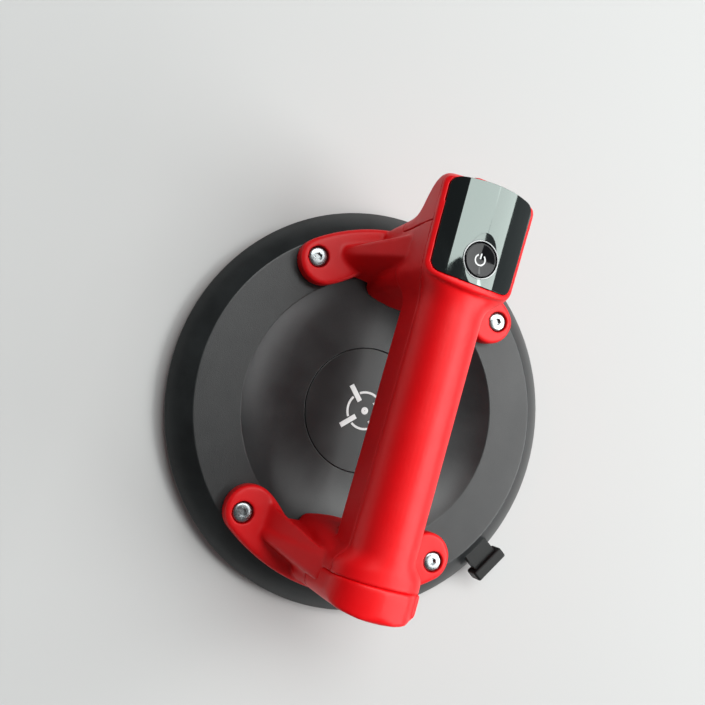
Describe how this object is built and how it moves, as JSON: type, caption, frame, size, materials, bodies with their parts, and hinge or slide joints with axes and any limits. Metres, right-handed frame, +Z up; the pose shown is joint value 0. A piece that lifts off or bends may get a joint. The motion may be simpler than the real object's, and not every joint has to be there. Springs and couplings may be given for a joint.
{
  "type": "tile suction lifter",
  "caption": "Battery-electric vacuum lifter for tiles: round base plate with seal ring, bridge handle with pump, display and power button, and a pull-out release valve.",
  "frame": {"origin": "centre of the seal ring on the surface it stands on", "axes": "+Z up from that surface, +Y along the handle towards the display head, +X to its right"},
  "size_m": [0.203, 0.2119, 0.0947],
  "materials": {
    "red_casing": "satin moulded",
    "black_base": "fine leather texture",
    "disc": "smooth satin",
    "red_seal": "silicone",
    "red_rubber": "matt",
    "display_glass": "polished",
    "button_gloss": "polished",
    "trim_chrome": "polished",
    "black_knob": "semi-gloss",
    "zinc_steel": "zinc plated",
    "insert_brass": "turned",
    "circuit_board": "solder mask",
    "black_part": "moulded",
    "silicone": "silicone",
    "filter_foam": "open foam",
    "cell_wrap": "heat-shrink sleeve"
  },
  "bodies": {
    "lifter": {"air_tee": "black_part", "base_shell": "black_base", "battery_cell_front": "cell_wrap", "battery_cell_rear": "cell_wrap", "board_screws": "zinc_steel", "button_dome": "silicone", "button_ring": "trim_chrome", "centre_disc": "disc", "charge_port": "zinc_steel", "contact_spring": "zinc_steel", "control_board": "circuit_board", "display_module": "black_part", "display_panel": "display_glass", "front_contact": "zinc_steel", "head_end_cover": "red_casing", "inlet_filter": "filter_foam", "leg_screws": "zinc_steel", "lower_frame": "red_casing", "motor_sleeve": "silicone", "port_fitting": "insert_brass", "port_hose": "silicone", "pressure_sensor": "black_part", "pump_head": "black_part", "pump_motor": "zinc_steel", "pump_pad": "silicone", "release_spring": "zinc_steel", "seal_ring": "red_seal", "sensor_hose": "silicone", "tact_switch": "black_part", "tail_cap": "red_casing", "threaded_inserts": "insert_brass", "top_shell": "red_casing", "valve_body": "insert_brass"},
    "button": {"power_button": "button_gloss"},
    "cover": {"charge_cover": "red_rubber"},
    "rotor": {"pump_rotor": "zinc_steel"},
    "release": {"release_knob": "black_knob", "release_rod": "zinc_steel", "valve_poppet": "silicone"}
  },
  "joints": [
    {"name": "power_button_press", "type": "slide", "parent": "lifter", "child": "button", "axis": [0, 0, -1], "range_m": [0, 0.0006], "stiffness_N_per_m": 800, "springref_m": -0.0005, "deforming": ["button_dome"]},
    {"name": "charge_cover_pull", "type": "slide", "parent": "lifter", "child": "cover", "axis": [0, 1, 0], "range_m": [0, 0.006]},
    {"name": "pump_spin", "type": "hinge", "parent": "lifter", "child": "rotor", "pos_m": [0.0063, 0.0755, 0.05], "axis": [0, 0, 1], "continuous": true},
    {"name": "release_pull", "type": "slide", "parent": "lifter", "child": "release", "axis": [0.8368, -0.5476, 0], "range_m": [0, 0.0035], "stiffness_N_per_m": 700, "springref_m": -0.003, "deforming": ["release_spring"]}
  ]
}
